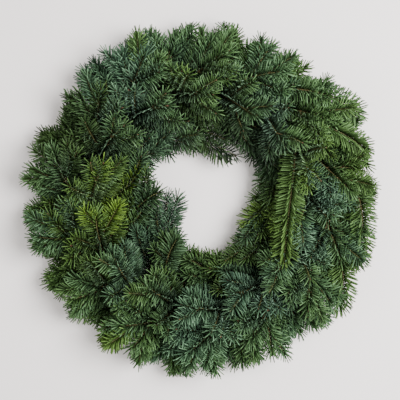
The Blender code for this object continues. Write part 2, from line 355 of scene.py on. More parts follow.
def endTree(tree, geometry, material):
    finished = addNode(tree, "GeometryNodeSetMaterial",
                       {"Geometry": geometry, "Material": material})
    addNode(tree, "NodeGroupOutput", {"Geometry": finished.outputs["Geometry"]})
    return tree


def mathNode(tree, operation, a, b=None, c=None, clamp=False):
    node = addNode(tree, "ShaderNodeMath", operation=operation, use_clamp=clamp)
    for socket, value in zip(node.inputs, (a, b, c)):
        plug(tree, value, socket)
    return node.outputs[0]


def vectorNode(tree, operation, a, b=None):
    node = addNode(tree, "ShaderNodeVectorMath", operation=operation)
    plug(tree, a, node.inputs[0])
    plug(tree, b, node.inputs[1])
    return node.outputs["Vector"]


def scaled(tree, vector, factor):
    return addNode(tree, "ShaderNodeVectorMath", {0: vector, "Scale": factor},
                   operation="SCALE").outputs["Vector"]


def randomNode(tree, low, high, seed, kind="FLOAT"):
    node = addNode(tree, "FunctionNodeRandomValue", {"Seed": seed}, data_type=kind)
    ends = [s for s in node.inputs if s.name in ("Min", "Max") and s.enabled]
    plug(tree, low, ends[0])
    plug(tree, high, ends[1])
    return [s for s in node.outputs if s.enabled][0]


def readAttribute(tree, name, kind="FLOAT"):
    return addNode(tree, "GeometryNodeInputNamedAttribute", {"Name": name},
                   data_type=kind).outputs["Attribute"]


def storeAttribute(tree, geometry, name, value, kind="FLOAT"):
    return addNode(tree, "GeometryNodeStoreNamedAttribute",
                   {"Geometry": geometry, "Name": name, "Value": value},
                   data_type=kind, domain="POINT").outputs["Geometry"]


def facingNode(tree, along, top):  # +Y along the first, +Z towards the second
    return addNode(tree, "FunctionNodeAxesToRotation",
                   {"Primary Axis": along, "Secondary Axis": top},
                   primary_axis="Y", secondary_axis="Z").outputs["Rotation"]


def lineFrom(tree, geometry):
    return addNode(tree, "GeometryNodeMeshToCurve", {"Mesh": geometry}).outputs["Curve"]


def realized(tree, geometry):
    return addNode(tree, "GeometryNodeRealizeInstances", {"Geometry": geometry}).outputs["Geometry"]


def tubeAlong(tree, line, radius, sides, scale=None):
    ring = addNode(tree, "GeometryNodeCurvePrimitiveCircle",
                   {"Radius": radius, "Resolution": sides}, mode="RADIUS").outputs["Curve"]
    tube = addNode(tree, "GeometryNodeCurveToMesh",
                   {"Curve": line, "Profile Curve": ring, "Scale": scale, "Fill Caps": True})
    return addNode(tree, "GeometryNodeSetShadeSmooth",
                   {"Geometry": tube.outputs["Mesh"]}).outputs["Geometry"]


def keepInside(tree, geometry, inputs):  # no point gets past the two corners
    here = addNode(tree, "GeometryNodeInputPosition").outputs["Position"]
    inside = vectorNode(tree, "MAXIMUM", here, inputs["Low Corner"])
    inside = vectorNode(tree, "MINIMUM", inside, inputs["High Corner"])
    return addNode(tree, "GeometryNodeSetPosition",
                   {"Geometry": geometry, "Position": inside}).outputs["Geometry"]


def bakeTree(obj, tree, values):  # runs the tree once and keeps the plain mesh
    modifier = obj.modifiers.new("grow", "NODES")
    modifier.node_group = tree
    identifiers = {item.name: item.identifier for item in tree.interface.items_tree
                   if item.item_type == "SOCKET" and item.in_out == "INPUT"}
    for label, value in values.items():
        modifier[identifiers[label]] = value
    bpy.context.view_layer.update()
    graph = bpy.context.evaluated_depsgraph_get()
    mesh = bpy.data.meshes.new_from_object(obj.evaluated_get(graph))
    obj.modifiers.clear()
    old = obj.data
    obj.data = mesh
    bpy.data.meshes.remove(old)
    mesh.name = obj.name
    return obj


def newMeshObject(name, verts, edges, faces):
    mesh = bpy.data.meshes.new(name)
    mesh.from_pydata([tuple(v) for v in verts], edges, faces)
    obj = bpy.data.objects.new(name, mesh)
    bpy.context.scene.collection.objects.link(obj)
    return obj


def addColumn(obj, label, values, kind="FLOAT", field="value"):
    obj.data.attributes.new(label, kind, "POINT").data.foreach_set(field, values)


# one needle, and what the comb of needles along a shoot looks like
needle = {
    "length": 0.0240,
    "width": 0.0023,
    "depth": 0.0010,
    "widths": ((0.0, 0.42), (0.35, 1.0), (0.90, 0.80)),  # share of the length, share of the width
    "bends": (0.0006, 0.0026, 0.0042),
    "sweeps": (0.0, 0.0007, -0.0009),
    "seed": 100,
    "pitch": 0.000665,
    "ranks": 3,
    "lowLift": -14.0, "highLift": 45.0,
    "topLean": 26.0, "sideLean": 69.0, "leanPower": 1.5,
    "leanSpread": 5.5,
    "leanChange": 8.0,
    "roll": 12.0,
    "thinning": (0.02, 0.98),
    "sizes": (0.93, 1.04),
    "sink": 0.7,  # share of the bark's thickness at which a needle starts
    "lowRoom": (0.0018, 0.0018, 0.0010),
    "highRoom": (0.0018, 0.0018, 0.0044),
}
seedStep = {"lean": 29.0, "shade": 17.0}


def makeNeedle(name, bend, sweep):  # a flat blade with a keel below, along +Y, its upper face up
    verts, along, edge = [], [], []
    for share, width in needle["widths"]:
        y = needle["length"] * share
        x = sweep * share**2
        z = bend * share**2
        half = needle["width"] / 2 * width
        verts += [(x - half, y, z), (x + half, y, z), (x, y, z - needle["depth"] * width)]
        along += [share] * 3
        edge += [0.0, 0.0, 1.0]
    verts.append((sweep, needle["length"], bend))
    along.append(1.0)
    edge.append(0.0)
    faces = [(0, 2, 1)]
    for a in (0, 3):
        b = a + 3
        faces += [(a, a + 1, b + 1, b), (a + 1, a + 2, b + 2, b + 1), (a + 2, a, b, b + 2)]
    faces += [(6, 7, 9), (7, 8, 9), (8, 6, 9)]
    obj = newMeshObject(name, verts, [], faces)
    addColumn(obj, "alongNeedle", along)
    addColumn(obj, "keel", edge)
    obj.data.shade_smooth()
    return obj


bud = {
    "length": 0.0052,
    "radius": 0.0015,
    "sides": 5,
    "foot": 0.10,
    "profile": ((0.18, 0.72), (0.55, 1.0)),
    "cluster": ((1.0, 0.0, 0.0), (0.68, 38.0, 0.0), (0.68, 38.0, 180.0)),  # size, lean, turn
}


def makeBuds(name):  # one bud at the tip of a shoot and a smaller one on either side, along +Y
    verts, faces = [], []
    sides = bud["sides"]
    for size, lean, turn in bud["cluster"]:
        lean, turn = math.radians(lean), math.radians(turn)
        level = math.sin(lean)
        axis = np.array([level * math.cos(turn), math.cos(lean), level * math.sin(turn)])
        right = unit(np.cross(axis, up))
        top = np.cross(right, axis)
        start = len(verts)
        verts.append(-bud["foot"] * bud["length"] * axis)
        for place, width in bud["profile"]:
            for i in range(sides):
                a = 2 * math.pi * i / sides
                around = math.cos(a) * right + math.sin(a) * top
                verts.append(size * (bud["length"] * place * axis + bud["radius"] * width * around))
        verts.append(size * bud["length"] * axis)
        low, high = start + 1, start + 1 + sides
        for i in range(sides):
            j = (i + 1) % sides
            faces += [(start, low + j, low + i), (low + i, low + j, high + j, high + i),
                      (high + i, high + j, high + sides)]
    obj = newMeshObject(name, verts, [], faces)
    obj.data.shade_smooth()
    return obj


# shared parts of the materials
def newGroup(name, inputs, outputs):
    group = bpy.data.node_groups.new(name, "ShaderNodeTree")
    for socket in inputs:
        newSocket(group, *socket)
    for socket in outputs:
        newSocket(group, *socket, direction="OUTPUT")
    return group, addNode(group, "NodeGroupInput").outputs


def makeMottle():  # soft uneven patches of light and dark, used on needles, bark and wire
    group, inputs = newGroup(
        "mottle",
        [("Scale", "Float", 30.0), ("Detail", "Float", 3.0), ("Contrast", "Float", 1.0)],
        [("Mask", "Float")])
    coords = addNode(group, "ShaderNodeTexCoord")
    noise = addNode(group, "ShaderNodeTexNoise", {
        "Vector": coords.outputs["Object"], "Scale": inputs["Scale"], "Detail": inputs["Detail"]})
    centred = mathNode(group, "SUBTRACT", noise.outputs["Fac"], 0.5)
    spread = mathNode(group, "MULTIPLY", centred, inputs["Contrast"])
    mask = mathNode(group, "ADD", spread, 0.5, clamp=True)
    addNode(group, "NodeGroupOutput", {"Mask": mask})
    return group


def newMaterial(name, roughness, metallic=0.0):
    material = bpy.data.materials.new(name)
    material.use_nodes = True
    tree = material.node_tree
    shader = tree.nodes["Principled BSDF"]
    shader.location.x = nodeDesk["shader"]
    tree.nodes["Material Output"].location.x = nodeDesk["output"]
    shader.inputs["Roughness"].default_value = roughness
    shader.inputs["Metallic"].default_value = metallic
    return material, tree, shader


def addMottle(tree, mottle, values):
    node = addNode(tree, "ShaderNodeGroup", node_tree=mottle)
    for label, value in zip(("Scale", "Detail", "Contrast"), values):
        node.inputs[label].default_value = value
    return node.outputs["Mask"]


def addRamp(tree, factor, stops):
    ramp = addNode(tree, "ShaderNodeValToRGB", {"Fac": factor})
    while len(ramp.color_ramp.elements) < len(stops):
        ramp.color_ramp.elements.new(0.5)
    for element, (position, color) in zip(ramp.color_ramp.elements, stops):
        element.position = position
        element.color = (*color, 1.0)
    return ramp.outputs["Color"]


def mixColors(tree, factor, a, b, blend="MIX"):
    node = addNode(tree, "ShaderNodeMix", data_type="RGBA", blend_type=blend)
    for socket, value in zip([s for s in node.inputs if s.enabled], (factor, a, b)):
        plug(tree, (*value, 1.0) if isinstance(value, tuple) else value, socket)
    return [s for s in node.outputs if s.enabled][0]


def shaderAttribute(tree, name):
    return addNode(tree, "ShaderNodeAttribute", attribute_type="GEOMETRY",
                   attribute_name=name).outputs["Fac"]


def swing(tree, mask, spread, middle=0.0):  # a 0 to 1 mask made a value round its middle
    return mathNode(tree, "MULTIPLY_ADD", mask, spread, middle - spread / 2)


needleFinish = {
    "tones": ((0.0, (0.050, 0.106, 0.066)), (0.35, (0.049, 0.108, 0.029)),
              (0.7, (0.076, 0.146, 0.020)), (1.0, (0.122, 0.210, 0.024))),
    "patches": (14.0, 2.0, 1.6),  # scale, detail and contrast of the mottle
    "toneSpread": 0.22,
    "bloom": (0.160, 0.260, 0.190),
    "bloomShare": 0.55, "bloomPower": 2.0,
    "foot": (0.165, 0.142, 0.042),
    "footShare": 0.7, "footFade": 5.0,
    "bands": (0.150, 0.215, 0.185),
    "bandShare": 0.6, "bandEdge": (6.0, 0.55),
    "brightSpread": 1.0,
    # painted shade: brightness of needles deep in the wreath, and how much more out in the open
    "deepLight": 0.22, "openLight": 0.84,
    # painted shade: a needle's brightness at its foot, and how much more towards its tip
    "rootLight": 0.48, "tipLight": 0.62,
    "roughness": 0.46, "roughSpread": 0.16, "specular": 0.22,
}


def makeNeedleMaterial(mottle):
    look = needleFinish
    material, tree, shader = newMaterial("firNeedles", look["roughness"])
    tone, shade, along, keel, paintedDaylight, lightness = [
        shaderAttribute(tree, name)
        for name in ("tone", "shade", "alongNeedle", "keel", "open", "lightness")]
    drift = addMottle(tree, mottle, look["patches"])
    toned = mathNode(tree, "ADD", tone, swing(tree, drift, look["toneSpread"]))
    ownPart = swing(tree, shade, look["toneSpread"])
    toned = mathNode(tree, "ADD", toned, ownPart, clamp=True)
    base = addRamp(tree, toned, look["tones"])
    # a waxy bloom lies along some needles, most on the bluer shoots
    bloom = mathNode(tree, "POWER", shade, look["bloomPower"])
    bloom = mathNode(tree, "MULTIPLY", bloom, look["bloomShare"])
    bluer = mathNode(tree, "SUBTRACT", 1.0, toned)
    bloom = mathNode(tree, "MULTIPLY", bloom, bluer, clamp=True)
    bloomed = mixColors(tree, bloom, base, look["bloom"])
    # the foot of each needle is yellower, and its underside has two pale bands beside the keel
    foot = mathNode(tree, "MULTIPLY", along, look["footFade"])
    foot = mathNode(tree, "SUBTRACT", 1.0, foot, clamp=True)
    foot = mathNode(tree, "MULTIPLY", foot, look["footShare"])
    footed = mixColors(tree, foot, bloomed, look["foot"])
    band = mathNode(tree, "MULTIPLY", keel, mathNode(tree, "SUBTRACT", 1.0, keel))
    band = mathNode(tree, "MULTIPLY", band, look["bandEdge"][0])
    band = mathNode(tree, "SUBTRACT", band, look["bandEdge"][1], clamp=True)
    band = mathNode(tree, "MULTIPLY", band, look["bandShare"])
    banded = mixColors(tree, band, footed, look["bands"])
    # needles differ in brightness, and painted shade darkens those deep in the wreath
    bright = swing(tree, shade, look["brightSpread"], 1.0)
    # painted shade, darker near the ring and towards the hole
    paintedShade = mathNode(tree, "MULTIPLY_ADD", paintedDaylight, look["openLight"], look["deepLight"])
    # painted shade, darker at the foot of each needle
    rise = mathNode(tree, "MULTIPLY_ADD", along, look["tipLight"], look["rootLight"])
    # the lightness of each patch paints light and shade in places
    dimmed = bright
    for part in (paintedShade, rise, lightness):
        dimmed = mathNode(tree, "MULTIPLY", dimmed, part)
    lit = mixColors(tree, 1.0, banded, dimmed, "MULTIPLY")
    plug(tree, lit, shader.inputs["Base Color"])
    rough = swing(tree, drift, look["roughSpread"], look["roughness"])
    plug(tree, rough, shader.inputs["Roughness"])
    shader.inputs["Specular IOR Level"].default_value = look["specular"]
    return material


twigFinish = {
    "bark": ((0.25, (0.085, 0.056, 0.022)), (0.55, (0.150, 0.098, 0.040)),
             (0.85, (0.220, 0.150, 0.065))),
    "grain": (420.0, 4.0, 1.8),
    "green": (0.115, 0.150, 0.040),
    "greenShare": 0.80,
    "bud": (0.135, 0.062, 0.032),
    "roughness": 0.72,
    "bump": 0.0004,
}


def makeTwigMaterial(mottle):
    material, tree, shader = newMaterial("firTwigs", twigFinish["roughness"])
    grain = addMottle(tree, mottle, twigFinish["grain"])
    bark = addRamp(tree, grain, twigFinish["bark"])
    young = mathNode(tree, "MULTIPLY", shaderAttribute(tree, "young"), twigFinish["greenShare"])
    greened = mixColors(tree, young, bark, twigFinish["green"])
    budMask = shaderAttribute(tree, "isBud")
    budded = mixColors(tree, budMask, greened, twigFinish["bud"])
    plug(tree, budded, shader.inputs["Base Color"])
    bump = addNode(tree, "ShaderNodeBump", {"Distance": twigFinish["bump"], "Height": grain})
    plug(tree, bump.outputs["Normal"], shader.inputs["Normal"])
    return material


ringFinish = {
    "colors": ((0.30, (0.030, 0.032, 0.030)), (0.62, (0.085, 0.088, 0.085)),
               (0.85, (0.150, 0.085, 0.050))),
    "wear": (160.0, 5.0, 2.2),
    "roughness": 0.42, "metallic": 0.85,
}
reelFinish = {
    "colors": ((0.35, (0.012, 0.050, 0.022)), (0.70, (0.025, 0.085, 0.038)),
               (0.95, (0.060, 0.120, 0.070))),
    "wear": (220.0, 5.0, 2.2),
    "roughness": 0.34, "metallic": 0.25,
}
wireWear = {"roughSpread": 0.30, "polish": 0.12}


def makeWireMaterial(name, mottle, finish):
    material, tree, shader = newMaterial(name, finish["roughness"], finish["metallic"])
    worn = addMottle(tree, mottle, finish["wear"])
    plug(tree, addRamp(tree, worn, finish["colors"]), shader.inputs["Base Color"])
    rough = mathNode(tree, "MULTIPLY_ADD", worn, wireWear["roughSpread"],
                     finish["roughness"] - wireWear["polish"])
    plug(tree, rough, shader.inputs["Roughness"])
    return material


# the three trees: needles along shoots, twigs with buds, and bent wire
def makeNeedleTree():
    angles = [(label, "Float", math.radians(needle[key])) for label, key in (
        ("Low Lift", "lowLift"), ("High Lift", "highLift"), ("Top Lean", "topLean"),
        ("Side Lean", "sideLean"), ("Lean Spread", "leanSpread"), ("Roll", "roll"))]
    tree, inputs = newGeometryTree("needlesAlongShoots", [
        *angles,
        ("Needle Pitch", "Float", needle["pitch"]),
        ("Needle Length", "Float", needle["length"]),
        ("Seed", "Int", needle["seed"]),
        ("Low Corner", "Vector"), ("High Corner", "Vector"),
        ("Low Room", "Vector", needle["lowRoom"]),
        ("High Room", "Vector", needle["highRoom"]),
        ("Needle Shapes", "Collection"),
        ("Material", "Material"),
    ])
    seed, leanSpread = inputs["Seed"], inputs["Lean Spread"]
    spread = addNode(tree, "GeometryNodeCurveToPoints", {
        "Curve": lineFrom(tree, inputs["Geometry"]), "Length": inputs["Needle Pitch"]},
        mode="LENGTH")
    points = storeAttribute(tree, spread.outputs["Points"], "tangent", spread.outputs["Tangent"],
                            "FLOAT_VECTOR")

    # the bare foot of a shoot and its thinly set start lose their needles
    thinning = randomNode(tree, *needle["thinning"], seed)
    bare = addNode(tree, "FunctionNodeCompare", {0: readAttribute(tree, "leafy"), 1: thinning},
                   data_type="FLOAT", operation="LESS_THAN")
    trimmed = addNode(tree, "GeometryNodeDeleteGeometry", {
        "Geometry": points, "Selection": bare.outputs["Result"]}, domain="POINT")

    # needles stand by turns left and right of the shoot in three ranks, one even comb a side
    index = addNode(tree, "GeometryNodeInputIndex").outputs["Index"]
    isLeft = mathNode(tree, "MODULO", index, 2.0)
    hand = mathNode(tree, "MULTIPLY_ADD", isLeft, 2.0, -1.0)
    pair = mathNode(tree, "FLOOR", mathNode(tree, "MULTIPLY", index, 0.5))
    rank = mathNode(tree, "MODULO", pair, float(needle["ranks"]))
    rank = mathNode(tree, "MULTIPLY", rank, 1 / (needle["ranks"] - 1))
    spreadBack = mathNode(tree, "MULTIPLY", leanSpread, -1.0)
    liftRange = mathNode(tree, "SUBTRACT", inputs["High Lift"], inputs["Low Lift"])
    lift = mathNode(tree, "MULTIPLY_ADD", liftRange, rank, inputs["Low Lift"])
    lift = mathNode(tree, "ADD", lift, randomNode(tree, spreadBack, leanSpread, seed))
    leanRange = mathNode(tree, "SUBTRACT", inputs["Top Lean"], inputs["Side Lean"])
    lean = mathNode(tree, "POWER", rank, needle["leanPower"])
    lean = mathNode(tree, "MULTIPLY_ADD", leanRange, lean, inputs["Side Lean"])
    leanSeed = mathNode(tree, "ADD", seed, seedStep["lean"])
    lean = mathNode(tree, "ADD", lean, randomNode(tree, spreadBack, leanSpread, leanSeed))
    lean = mathNode(tree, "MULTIPLY", lean, readAttribute(tree, "opening"))

    # the way a needle points, from the shoot's own three directions
    tangent = readAttribute(tree, "tangent", "FLOAT_VECTOR")
    flatUp = readAttribute(tree, "flatUp", "FLOAT_VECTOR")
    side = vectorNode(tree, "CROSS_PRODUCT", tangent, flatUp)
    side = vectorNode(tree, "NORMALIZE", side)
    top = vectorNode(tree, "CROSS_PRODUCT", side, tangent)
    handed = scaled(tree, side, hand)
    levelPart = mathNode(tree, "COSINE", lift)
    raised = scaled(tree, top, mathNode(tree, "SINE", lift))
    away = vectorNode(tree, "ADD", scaled(tree, handed, levelPart), raised)
    onward = scaled(tree, tangent, mathNode(tree, "COSINE", lean))
    sideways = scaled(tree, handed, mathNode(tree, "SINE", lean))
    level = scaled(tree, vectorNode(tree, "ADD", onward, sideways), levelPart)
    way = vectorNode(tree, "ADD", level, raised)

    # a needle that would leave the room it has is turned and shortened to stay inside
    here = addNode(tree, "GeometryNodeInputPosition").outputs["Position"]
    reach = vectorNode(tree, "ADD", here, scaled(tree, way, inputs["Needle Length"]))
    lowTip = vectorNode(tree, "ADD", inputs["Low Corner"], inputs["Low Room"])
    highTip = vectorNode(tree, "SUBTRACT", inputs["High Corner"], inputs["High Room"])
    tip = vectorNode(tree, "MAXIMUM", reach, lowTip)
    tip = vectorNode(tree, "MINIMUM", tip, highTip)
    toTip = vectorNode(tree, "SUBTRACT", tip, here)
    tipDistance = addNode(tree, "ShaderNodeVectorMath", {0: toTip}, operation="LENGTH")
    kept = mathNode(tree, "DIVIDE", tipDistance.outputs["Value"], inputs["Needle Length"])
    rollBack = mathNode(tree, "MULTIPLY", inputs["Roll"], -1.0)
    roll = addNode(tree, "FunctionNodeAxisAngleToRotation", {
        "Axis": (0.0, 1.0, 0.0), "Angle": randomNode(tree, rollBack, inputs["Roll"], seed)})
    rolled = addNode(tree, "FunctionNodeRotateRotation", {
        "Rotation": facingNode(tree, toTip, top), "Rotate By": roll.outputs["Rotation"]},
        rotation_space="LOCAL")

    # it starts just inside the bark
    foot = mathNode(tree, "MULTIPLY", readAttribute(tree, "thickness"), needle["sink"])
    seated = addNode(tree, "GeometryNodeSetPosition", {
        "Geometry": trimmed.outputs["Geometry"], "Offset": scaled(tree, away, foot)})
    shadeSeed = mathNode(tree, "ADD", seed, seedStep["shade"])
    shade = randomNode(tree, 0.0, 1.0, shadeSeed)
    shaded = storeAttribute(tree, seated.outputs["Geometry"], "shade", shade)

    shapes = addNode(tree, "GeometryNodeCollectionInfo", {
        "Collection": inputs["Needle Shapes"], "Separate Children": True, "Reset Children": True})
    which = randomNode(tree, 0, len(needle["bends"]) - 1, seed, "INT")
    size = mathNode(tree, "MULTIPLY", readAttribute(tree, "needleSize"),
                    randomNode(tree, *needle["sizes"], seed))
    planted = addNode(tree, "GeometryNodeInstanceOnPoints", {
        "Points": shaded, "Instance": shapes.outputs["Instances"], "Pick Instance": True,
        "Instance Index": which, "Rotation": rolled.outputs["Rotation"],
        "Scale": mathNode(tree, "MULTIPLY", size, kept)})
    grown = keepInside(tree, realized(tree, planted.outputs["Instances"]), inputs)
    return endTree(tree, grown, inputs["Material"])


def makeTwigTree():
    tree, inputs = newGeometryTree("twigsAndBuds", [
        ("Sides", "Int", shootLine["sides"]),
        ("Low Corner", "Vector"), ("High Corner", "Vector"),
        ("Bud", "Object"),
        ("Material", "Material"),
    ])
    line = lineFrom(tree, inputs["Geometry"])
    bark = tubeAlong(tree, line, 1.0, inputs["Sides"], readAttribute(tree, "thickness"))
    tips = addNode(tree, "GeometryNodeCurveEndpointSelection", {"Start Size": 0, "End Size": 1})
    tangent = addNode(tree, "GeometryNodeInputTangent").outputs["Tangent"]
    flatUp = readAttribute(tree, "flatUp", "FLOAT_VECTOR")
    shape = addNode(tree, "GeometryNodeObjectInfo", {"Object": inputs["Bud"]})
    buds = addNode(tree, "GeometryNodeInstanceOnPoints", {
        "Points": line, "Selection": tips.outputs["Selection"],
        "Instance": storeAttribute(tree, shape.outputs["Geometry"], "isBud", 1.0),
        "Rotation": facingNode(tree, tangent, flatUp),
        "Scale": readAttribute(tree, "budSize")})
    both = addNode(tree, "GeometryNodeJoinGeometry", {"Geometry": bark})
    plug(tree, buds.outputs["Instances"], both.inputs["Geometry"])
    grown = keepInside(tree, realized(tree, both.outputs["Geometry"]), inputs)
    return endTree(tree, grown, inputs["Material"])


def makeWireTree():
    tree, inputs = newGeometryTree("wireAlongPath", [
        ("Radius", "Float", wreath["reelWire"] / 2),
        ("Sides", "Int", reelPiece["sides"]),
        ("Bend Radius", "Float", reelPiece["bendRadius"]),
        ("Bend Steps", "Int", reelPiece["bendSteps"]),
        ("Material", "Material"),
    ])
    bends = addNode(tree, "GeometryNodeFilletCurve", {
        "Curve": lineFrom(tree, inputs["Geometry"]), "Radius": inputs["Bend Radius"],
        "Count": inputs["Bend Steps"], "Limit Radius": True}, mode="POLY")
    wire = tubeAlong(tree, bends.outputs["Curve"], inputs["Radius"], inputs["Sides"])
    return endTree(tree, realized(tree, wire), inputs["Material"])


# the shoots of one spray, as lines that carry what the trees read
shootLine = {
    "sides": 4,
    "step": 0.006,
    "leastPoints": 4,
    "settleFrom": 0.080,  # above this height only this share of the rise is kept
    "settle": 0.55,
    "twigShare": 0.52,
    "leafFade": 0.012,
    "shortTip": 0.012,
    "tipSize": 0.86,
    "fanTip": 0.013,  # at the tip the comb closes over this length, down to this share
    "fanLeft": 0.12,
    "toneRise": 0.08,
    "paintedShadeNear": 0.018,  # painted shade: needles near the ring are darkened, and so are those towards the hole
    "paintedShadeFar": 0.078,
    "innerShade": 0.35, "innerDepth": 0.090,
}
clearComb = {"fanTip": 0.5, "opening": 1.07}  # shoots on top are combed wider, up to their tips
lineColumns = ("thickness", "leafy", "needleSize", "young", "tone", "budSize", "open", "opening",
               "lightness")


def settled(point):
    x, y, z = point
    low = min(z, shootLine["settleFrom"])
    return x, y, low + shootLine["settle"] * max(0.0, z - shootLine["settleFrom"])


def daylight(x, y, z):  # 0 in the shade at the ring, 1 out in the open
    fromAxis = math.hypot(x, y)
    fromRing = math.hypot(fromAxis - wreath["ringRadius"], z - ringHeight)
    span = shootLine["paintedShadeFar"] - shootLine["paintedShadeNear"]
    inward = clamped((wreath["ringRadius"] - fromAxis) / shootLine["innerDepth"])
    return clamped((fromRing - shootLine["paintedShadeNear"]) / span) * (
        1 - shootLine["innerShade"] * inward)


def lineObject(name, shoots):
    verts, edges, values, ups = [], [], [], []
    for shoot in shoots:
        route = shoot["route"]
        isClear = "look" in shoot
        tone, light = shoot["look"] if isClear else branchLook(route, shoot["tone"])
        fanTip = shootLine["fanTip"] * (clearComb["fanTip"] if isClear else 1.0)
        widest = clearComb["opening"] if isClear else 1.0
        count = max(shootLine["leastPoints"], int(route.length / shootLine["step"]) + 1)
        for i, s in enumerate(np.linspace(0.0, route.length, count)):
            if i:
                edges.append((len(verts) - 1, len(verts)))
            verts.append(settled(route.at(s)))
            ups.append(-route.frame(s)[2])
            share = s / route.length
            left = route.length - s
            radius = shoot["radius"] + (shoot["tipRadius"] - shoot["radius"]) * share
            nearTip = min(1.0, left / shootLine["shortTip"])
            opened = (1 - shootLine["fanLeft"]) * min(1.0, left / fanTip)
            values.append((
                radius * shootLine["twigShare"],
                clamped((s - shoot["leafFrom"]) / shootLine["leafFade"]),
                shoot["size"] * (shootLine["tipSize"] + (1 - shootLine["tipSize"]) * nearTip),
                share * shoot["young"],
                clamped(tone + shootLine["toneRise"] * share),
                shoot["budSize"],
                daylight(*verts[-1]),
                (shootLine["fanLeft"] + opened) * widest,
                light))
    obj = newMeshObject(name, verts, edges, [])
    for label, column in zip(lineColumns, zip(*values)):
        addColumn(obj, label, column)
    addColumn(obj, "flatUp", np.ravel(ups), "FLOAT_VECTOR", "vector")
    return obj


tones = {"middle": 0.37, "spread": 0.14, "shootSpread": 0.10,
         "blueShare": 0.16, "blueTone": 0.12, "blueSpread": (-0.05, 0.10),
         "readAt": 0.55, "branchEdge": 2.0}

# shoots cut from other branches: angle and radius of the middle, size, tone, lightness; the
# lightness in places is painted light and shade
otherBranches = (
    (187.0, 0.150, 0.050, 0.80, 1.05),  # fresh yellow-green tips on the left
    (352.0, 0.137, 0.046, 0.66, 1.00),  # and on the right of the hole
    (4.0, 0.256, 0.105, 0.46, 0.86),  # the right edge, a little yellower
    (237.0, 0.262, 0.055, 0.62, 1.00),  # yellower again at the lower left edge
    (127.0, 0.226, 0.070, 0.06, 1.05),  # blue ones at the upper left
    (155.0, 0.240, 0.095, 0.42, 0.56),  # with darker ones beside them, painted shade
    (55.0, 0.108, 0.075, 0.24, 0.44),  # the shaded inside of the top
    (272.0, 0.190, 0.075, 0.10, 1.15),  # blue ones at the bottom
    (5.0, 0.190, 0.040, 0.05, 1.15),  # two blue tufts on the right
    (339.0, 0.177, 0.036, 0.08, 1.05),
    (27.0, 0.176, 0.036, 0.60, 1.10),  # a fresh one over them
    (206.0, 0.204, 0.058, 0.54, 0.84),  # olive ones at the lower left
)


def branchLook(route, tone):
    x, y, _ = route.at(tones["readAt"] * route.length)
    light = 1.0
    # each patch sets the tone of the shoots inside it, and a lightness that in places paints light
    # and shade
    for angle, radius, size, branchTone, branchLight in otherBranches:
        place = radius * outward(angle)
        distance = math.hypot(x - place[0], y - place[1])
        if distance < size:
            share = min(1.0, tones["branchEdge"] * (1 - distance / size))
            tone, light = tone + (branchTone - tone) * share, light + (branchLight - light) * share
    return tone, light


def sprayTone(draws):
    pick = draws.random()
    if pick > 1 - tones["blueShare"]:
        return tones["blueTone"] + draws.uniform(*tones["blueSpread"])
    return tones["middle"] + draws.uniform(-1, 1) * tones["spread"]


# shoots that lie clear on top: the spray each grows on, its curve's four points, tone, lightness
clearShoots = {
    "spray_crown_03": (((0.150, 0.084, 0.048), (0.145, 0.050, 0.096),
                        (0.133, -0.020, 0.108), (0.129, -0.090, 0.086)), 0.54, 0.90),
    "spray_outer_01": (((0.130, 0.176, 0.045), (0.170, 0.176, 0.082),
                        (0.215, 0.160, 0.080), (0.246, 0.137, 0.056)), 0.34, 0.98),
    "spray_outer_02": (((0.150, 0.130, 0.045), (0.190, 0.120, 0.084),
                        (0.228, 0.104, 0.080), (0.256, 0.082, 0.054)), 0.46, 0.92),
    "spray_outer_04": (((0.246, 0.020, 0.035), (0.256, -0.010, 0.070),
                        (0.256, -0.060, 0.070), (0.243, -0.098, 0.050)), 0.50, 0.92),
    "spray_outer_05": (((0.215, -0.080, 0.035), (0.228, -0.110, 0.064),
                        (0.226, -0.145, 0.060), (0.217, -0.168, 0.045)), 0.48, 0.92),
    "spray_inner_09": (((-0.108, -0.020, 0.022), (-0.098, -0.006, 0.040),
                        (-0.084, 0.006, 0.046), (-0.068, 0.012, 0.046)), 0.26, 0.80),
    "spray_inner_07": (((-0.058, -0.122, 0.024), (-0.056, -0.100, 0.046),
                        (-0.050, -0.078, 0.054), (-0.038, -0.062, 0.052)), 0.26, 0.85),
}
sideWood = {"radius": wreath["sideRadius"], "tipRadius": wreath["tipRadius"]}
shootKinds = {
    "main": {"radius": wreath["stemRadius"], "tipRadius": wreath["tipRadius"], "size": 1.0,
             "young": 0.7, "budSize": 1.0},
    "side": {**sideWood, "size": 0.97, "leafFrom": 0.003, "young": 0.9, "budSize": 0.9},
    "fill": {"radius": 0.0011, "tipRadius": 0.0008, "size": 0.86, "leafFrom": 0.002,
             "young": 1.0, "budSize": 0.5},
    "clear": {**sideWood, "size": 1.06, "leafFrom": 0.003, "young": 0.9, "budSize": 1.0},
}
mainLeafFrom = 0.02  # the needles start at this share of the main twig past its binding


def describeShoots(spray, draws):
    tone = sprayTone(draws)

    def ownTone():
        return tone + draws.uniform(-1, 1) * tones["shootSpread"]

    main = spray["main"]
    leafFrom = bound + mainLeafFrom * (main.length - bound)
    shoots = [{**shootKinds["main"], "route": main, "leafFrom": leafFrom, "tone": tone}]
    for side in spray["sides"]:
        shoots.append({**shootKinds["side"], "route": side, "tone": ownTone()})
    for twig in fillSpray(spray, draws):
        shoots.append({**shootKinds["fill"], "route": twig, "tone": ownTone()})
    if spray["name"] in clearShoots:
        points, clearTone, light = clearShoots[spray["name"]]
        route = Route(bezier(*np.array(points), linePoints["main"]), up)
        shoots.append({**shootKinds["clear"], "route": route, "look": (clearTone, light)})
    return shoots


# the paths of the two wires
ringPiece = {"points": 168, "sides": 12}
reelPiece = {"sides": 8, "bendRadius": 0.0011, "bendSteps": 3,
             "faces": 6, "firstFace": 270.0, "firstCorner": 5}  # each turn is a hexagon


def ringPath():
    return [onRing(360.0 * i / ringPiece["points"]) for i in range(ringPiece["points"])]


